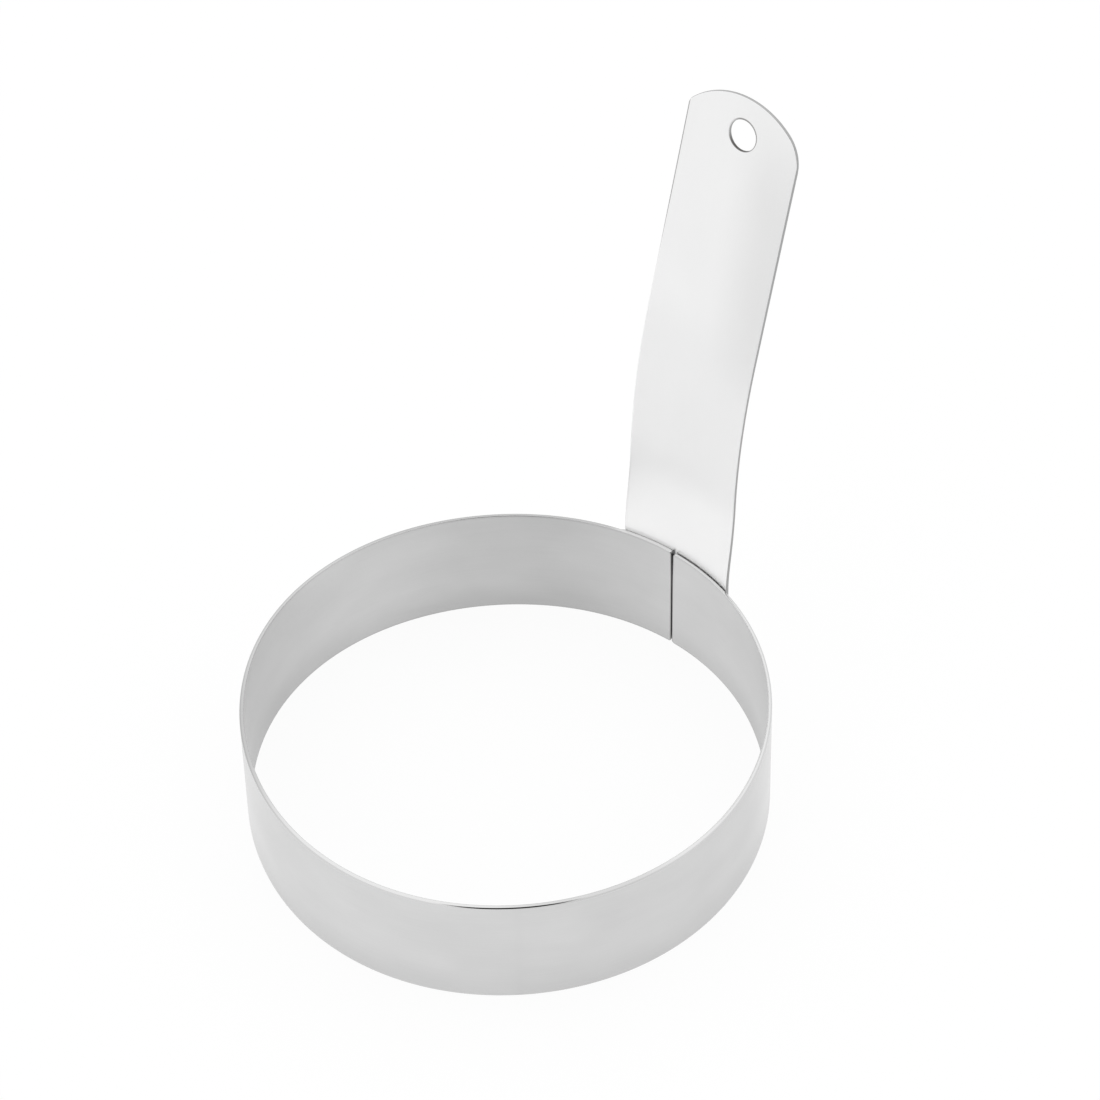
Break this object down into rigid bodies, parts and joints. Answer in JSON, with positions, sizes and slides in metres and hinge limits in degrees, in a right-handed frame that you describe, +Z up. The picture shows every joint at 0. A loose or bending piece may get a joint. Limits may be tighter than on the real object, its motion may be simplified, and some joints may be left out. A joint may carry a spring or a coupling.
{
  "type": "egg ring",
  "caption": "Round sheet-steel cooking ring with an upright strip handle spot-welded over its seam and a hanging hole near the tip.",
  "frame": {"origin": "on the cooking surface, in the middle of the box that holds the ring and its leaning handle", "axes": "+Z up along the axis of the ring, +Y from the ring towards the handle, +X to the right"},
  "size_m": [0.1016, 0.1216, 0.1291],
  "materials": {
    "band_steel": "satin mill finish, fine grain along the strip, edges deburred",
    "handle_steel": "satin mill finish, fine grain along the strip, edges deburred",
    "weld_steel": "dull round electrode mark with a faint straw heat tint"
  },
  "bodies": {
    "root": {"ring_band": "band_steel", "handle": "handle_steel", "spot_weld_left_lower": "weld_steel", "spot_weld_left_upper": "weld_steel", "spot_weld_right_lower": "weld_steel", "spot_weld_right_upper": "weld_steel"}
  },
  "joints": []
}
